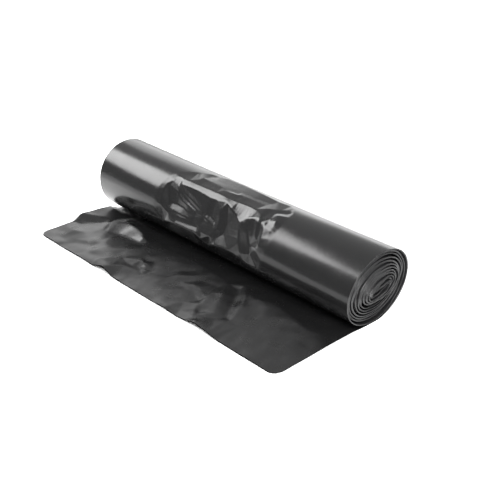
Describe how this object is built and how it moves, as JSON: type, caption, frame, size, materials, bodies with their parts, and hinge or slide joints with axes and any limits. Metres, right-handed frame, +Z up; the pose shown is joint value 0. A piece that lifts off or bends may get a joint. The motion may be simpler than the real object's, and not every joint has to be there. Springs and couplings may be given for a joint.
{
  "type": "bin bag roll",
  "caption": "Coreless roll of flat-folded black refuse bags, lying on its side with the first bag drawn out loose in front of it.",
  "frame": {"origin": "on the floor, in the flat spot that the roll rests on, under the roll's middle", "axes": "+X along the roll towards its flatter end, -Y towards the loose bag, +Z up"},
  "size_m": [0.35, 0.1606, 0.0759],
  "materials": {
    "film": "semi-gloss black polyethylene film, finely creased"
  },
  "bodies": {
    "root": {"bag_roll": "film"}
  },
  "joints": []
}
